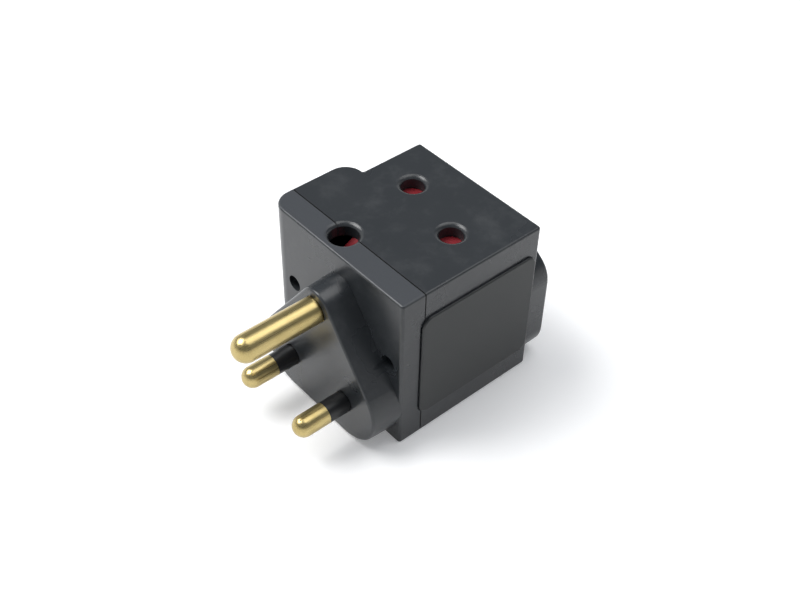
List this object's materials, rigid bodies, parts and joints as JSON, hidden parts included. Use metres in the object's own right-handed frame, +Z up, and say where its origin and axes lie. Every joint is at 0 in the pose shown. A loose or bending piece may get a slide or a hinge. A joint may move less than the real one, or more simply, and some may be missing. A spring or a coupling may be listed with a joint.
{
  "type": "plug splitter",
  "caption": "Dark cube-shaped plug splitter with round brass pins in front and shuttered round-hole outlets on top and behind.",
  "frame": {"origin": "on the flat base, under the middle of the body's width and depth, humps and bosses left out", "axes": "+X to the right as seen from the pin side, +Y from the pins to the rear outlet, +Z up"},
  "size_m": [0.0619, 0.0994, 0.0572],
  "materials": {
    "housing_plastic": "satin",
    "pin_brass": "polished",
    "sleeve_plastic": "satin",
    "contact_brass": "drawn",
    "spring_steel": "drawn",
    "screw_steel": "plated",
    "inner_plastic": "moulded",
    "shutter_plastic": "moulded"
  },
  "bodies": {
    "housing": {"front_cover": "housing_plastic", "rear_housing": "housing_plastic", "earth_pin": "pin_brass", "live_pin": "pin_brass", "neutral_pin": "pin_brass", "live_pin_sleeve": "sleeve_plastic", "neutral_pin_sleeve": "sleeve_plastic", "earth_bar": "contact_brass", "live_bar": "contact_brass", "neutral_bar": "contact_brass", "left_housing_screw": "screw_steel", "right_housing_screw": "screw_steel", "top_earth_contact": "contact_brass", "top_earth_clip": "spring_steel", "top_live_contact": "contact_brass", "top_live_clip": "spring_steel", "top_neutral_contact": "contact_brass", "top_neutral_clip": "spring_steel", "top_shutter_guide": "inner_plastic", "top_shutter_spring": "spring_steel", "rear_earth_contact": "contact_brass", "rear_earth_clip": "spring_steel", "rear_live_contact": "contact_brass", "rear_live_clip": "spring_steel", "rear_neutral_contact": "contact_brass", "rear_neutral_clip": "spring_steel", "rear_shutter_guide": "inner_plastic", "rear_shutter_spring": "spring_steel"},
    "top_shutter": {"top_shutter": "shutter_plastic"},
    "rear_shutter": {"rear_shutter": "shutter_plastic"}
  },
  "joints": [
    {"name": "top_shutter_slide", "type": "slide", "parent": "housing", "child": "top_shutter", "axis": [0.2588, 0.9659, 0], "range_m": [0, 0.0078], "stiffness_N_per_m": 60, "springref_m": -0.002, "deforming": ["top_shutter_spring"]},
    {"name": "rear_shutter_slide", "type": "slide", "parent": "housing", "child": "rear_shutter", "axis": [0, 0, -1], "range_m": [0, 0.0078], "stiffness_N_per_m": 60, "springref_m": -0.002, "deforming": ["rear_shutter_spring"]}
  ]
}
